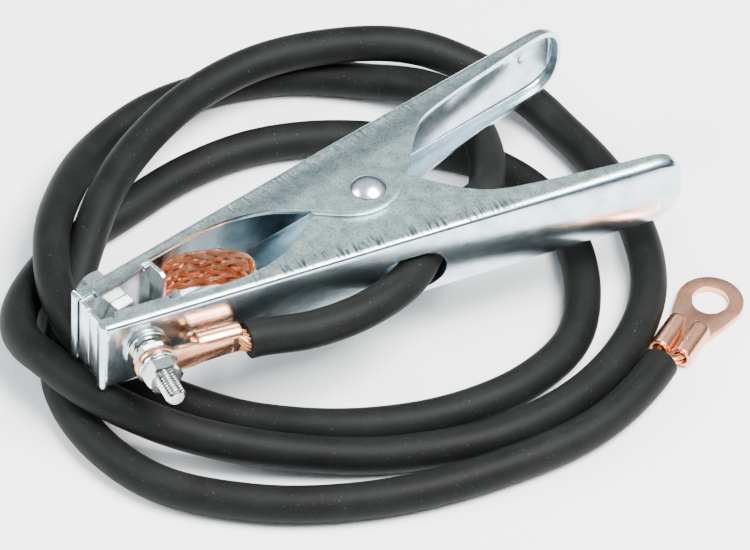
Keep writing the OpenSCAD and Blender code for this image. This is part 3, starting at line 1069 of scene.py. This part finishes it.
def make_braid():
    """Flat braid: bundles of fine wires that cross over two and under two."""
    rng = random.Random(7)
    count = 96
    line, length = even_line(smooth_line(BRAID_LINE, 12), count)
    paths = []
    for family in (1, -1):
        for j in range(BRAID_BUNDLES):
            drift = rng.uniform(-0.15, 0.15)
            for wire in range(BRAID_WIRES):
                across = (wire - (BRAID_WIRES - 1) / 2) * WIRE_GAP
                wild = rng.uniform(-0.07, 0.07)
                path = []
                for k, (x, y) in enumerate(line):
                    xa, ya = line[max(k - 1, 0)]
                    xb, yb = line[min(k + 1, count - 1)]
                    d = math.hypot(xb - xa, yb - ya)
                    nx, ny = -(yb - ya) / d, (xb - xa) / d
                    s = length * k / (count - 1)
                    turns = family * s / BRAID_PITCH
                    a = (math.tau * (j / BRAID_BUNDLES + turns)
                         + (across + drift) / BRAID_CORE_R)
                    weave = math.cos(math.pi * (j + BRAID_BUNDLES * turns) - math.pi / 4)
                    z = BRAID_HALF * math.asin(RIM_TURN * math.sin(a)) / math.asin(RIM_TURN)
                    layer = math.tanh(3.2 * math.cos(a))
                    off = layer * (BRAID_LIFT + BRAID_WEAVE * family * weave) + wild * 0.5
                    z += 0.16 * math.sin(s * 0.9 + j) + wild
                    path.append(Vector((x + nx * off, y + ny * off, z)) * MM)
                paths.append(path)
    braid = tubes("braid_wires", paths, WIRE_R * MM, 5)
    paint(braid, COPPER_BRAID)
    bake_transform(braid)
    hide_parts("copper_braid")


def make_spring():
    """Torsion spring round the rivet; its legs press the arms' backs apart."""
    lean, turns, coil_l, leg_l = math.radians(43), 5, 14.4 * MM, 25.5 * MM
    radius, wire_r = 6.4 * MM, 1.1 * MM
    start = math.pi / 2 + lean
    sweep = math.tau * turns + 2 * (math.pi / 2 - lean)
    steps, leg_steps = 36 * turns, 8
    coil = []
    for i in range(steps + 1):
        a = start + sweep * i / steps
        coil.append(Vector((PIVOT_X + radius * math.cos(a), radius * math.sin(a),
                            coil_l * (i / steps - 0.5))))
    way = Vector((math.cos(lean), math.sin(lean), 0))
    other = Vector((way.x, -way.y, 0))
    legs = [leg_l * k / leg_steps for k in range(leg_steps, 0, -1)]
    path = [coil[0] + way * d for d in legs] + coil + [coil[-1] + other * d for d in legs[::-1]]
    spring = tubes("spring_wire", [path], wire_r, 14)
    paint(spring, SPRING_STEEL)
    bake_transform(spring)
    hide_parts("torsion_spring")


# ---- Studio ----

def make_floor():
    low = cad_box[0][2]
    corners = [(x * FLOOR_HALF, y * FLOOR_HALF, low)
               for x, y in ((-1, -1), (1, -1), (1, 1), (-1, 1))]
    floor = mesh_piece("floor", corners, [(0, 1, 2, 3)])
    material, nodes, links, shader = new_material("floor_white")
    cloud = noise(nodes, links, 3, 2)
    links.new(ramp(nodes, links, cloud, [(0.3, (0.90, 0.90, 0.90)), (0.7, (0.93, 0.93, 0.93))]),
              shader.inputs["Base Color"])
    shader.inputs["Roughness"].default_value = 0.9
    shader.inputs["Specular IOR Level"].default_value = 0.1
    floor.data.materials.append(material)


def area_light(name, place, target, size, power, colour=(1, 1, 1)):
    data = bpy.data.lights.new(name, "AREA")
    data.shape = "RECTANGLE"
    data.size, data.size_y = size
    data.energy = power
    data.color = colour
    light = bpy.data.objects.new(name, data)
    light.location = place
    way = Vector(target) - Vector(place)
    light.rotation_euler = way.to_track_quat("-Z", "Y").to_euler()
    bpy.context.collection.objects.link(light)


def make_world():
    """A pale room: bright above, a soft dark band near the horizon for the metal to show."""
    world = bpy.data.worlds.new("studio")
    bpy.context.scene.world = world
    world.use_nodes = True
    nodes, links = world.node_tree.nodes, world.node_tree.links
    background = nodes["Background"]
    where = nodes.new("ShaderNodeTexCoord")
    split = nodes.new("ShaderNodeSeparateXYZ")
    links.new(where.outputs["Generated"], split.inputs["Vector"])
    height = remap(nodes, links, split.outputs["Z"], 0.0, 1.0)
    height.node.inputs["From Min"].default_value = -1.0
    colour = ramp(nodes, links, height, [
        (0.47, (0.30, 0.34, 0.40)), (0.50, (0.012, 0.02, 0.03)), (0.62, (0.02, 0.035, 0.055)),
        (0.75, (0.42, 0.50, 0.60)), (0.90, (0.75, 0.80, 0.86)), (1.0, (0.55, 0.62, 0.70))])
    links.new(colour, background.inputs["Color"])
    background.inputs["Strength"].default_value = 1.25


# ---- The clamp ----

# Crimp barrels and cable ends in their lugs' frames, in mm; see make_lug and make_strands.
NEAR_BARREL = (13.4, 26.9, 4.7, 6.2, (178, 205))
FAR_BARREL = (14.2, 27.6, 6.8, 6.8, (125, 215))
NEAR_CABLE_END = (28.4, 0.0)
FAR_CABLE_END = (34.0, 4.4)
NEAR_HOLE_R = 3.1 * MM
FAR_HOLE_R = 5.5 * MM
NEAR_EYE = round_eye(6.5 * MM, 44, (7.5, 4.3), (12, 4.2), (13.6, 3.6), (24, 2.6))
FAR_EYE = round_eye(10 * MM, 78, (8, 8.4), (14, 6.5), (16, 5.2), (25, 3.4))
LIT_PLACE = (0.09, 0, -0.02)

make_camera()
cable = make_cable()
make_floor()
make_world()
area_light("key", (0.35, -0.45, 1.1), LIT_PLACE, (0.7, 0.7), 70)
area_light("fill", (-0.9, 0.5, 0.8), LIT_PLACE, (0.6, 0.6), 26, (0.92, 0.96, 1.0))

make_arm("lower_arm_sheet", -1, LOWER, "lower_arm")
make_arm("upper_arm_sheet", 1, UPPER, "upper_arm")

make_bolt("lower_bolt_thread", -1, LONG_BOLT_L, LOWER, "lower_bolt")
make_bolt("upper_bolt_thread", 1, SHORT_BOLT_L, UPPER, "upper_bolt")
make_lock_washer("lower_spring_washer", -1, LOWER, "lower_lock_washer")
make_lock_washer("upper_spring_washer", 1, UPPER, "upper_lock_washer")
make_nut("lower_thin_nut", -1, INNER_NUT_Y, THIN_NUT_H, LOWER, "lower_inner_nut")
make_nut("lower_outer_nut", -1, OUTER_NUT_Y, NUT_H, LOWER, "outer_nut")
make_nut("upper_hex_nut", 1, INNER_NUT_Y, NUT_H, UPPER, "upper_nut")

make_contact_plate("lower_contact_strip", -1, LOWER_TAB_L, LOWER, "lower_contact_plate")
make_contact_plate("upper_contact_strip", 1, UPPER_TAB_L, UPPER, "upper_contact_plate")

make_lug("near_lug", near_place, NEAR_EYE, NEAR_HOLE_R, NEAR_BARREL, "cable_lug")
far_lug = make_lug("far_lug", far_place, FAR_EYE, FAR_HOLE_R, FAR_BARREL, "ring_terminal")
near_strands = make_strands("near_wires", near_place, NEAR_CABLE_END, NEAR_BARREL, 1.6,
                            "near_strands", 3)
far_strands = make_strands("far_wires", far_place, FAR_CABLE_END, FAR_BARREL, 0.8,
                           "far_strands", 5)
make_braid()
make_spring()

paint_node("pivot_rivet", RIVET_ZINC)
for washer in ("upper_washer", "lower_washer", "outer_washer"):
    paint_node(washer, BOLT_ZINC)
